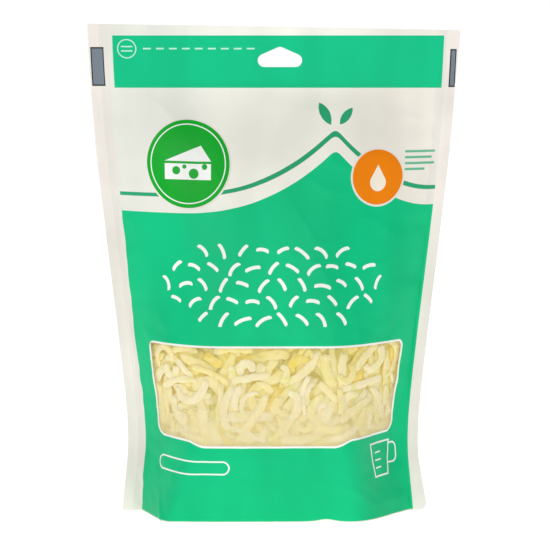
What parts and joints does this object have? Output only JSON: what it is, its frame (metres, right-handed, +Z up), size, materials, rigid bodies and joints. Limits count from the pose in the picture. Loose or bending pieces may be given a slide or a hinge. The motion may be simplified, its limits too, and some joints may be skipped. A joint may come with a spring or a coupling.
{
  "type": "bag of shredded mozzarella",
  "caption": "Stand-up gusseted pouch of printed film, heat-sealed and full of cheese shreds, with a clear window in its front and a hang hole in its flat header.",
  "frame": {"origin": "on the floor, under the middle of the pouch's box", "axes": "+Z up along the standing pouch, the printed front with its window faces -Y, +X to the right as seen from the front"},
  "size_m": [0.17, 0.0702, 0.225],
  "materials": {
    "printed_film": "laminated packaging film, satin, printed green with off-white margins",
    "clear_film": "clear glossy packaging film",
    "cheese": "moist pale cream cheese, slightly waxy"
  },
  "bodies": {
    "root": {"pouch": "printed_film", "window_film": "clear_film", "shredded_cheese": "cheese"}
  },
  "joints": []
}
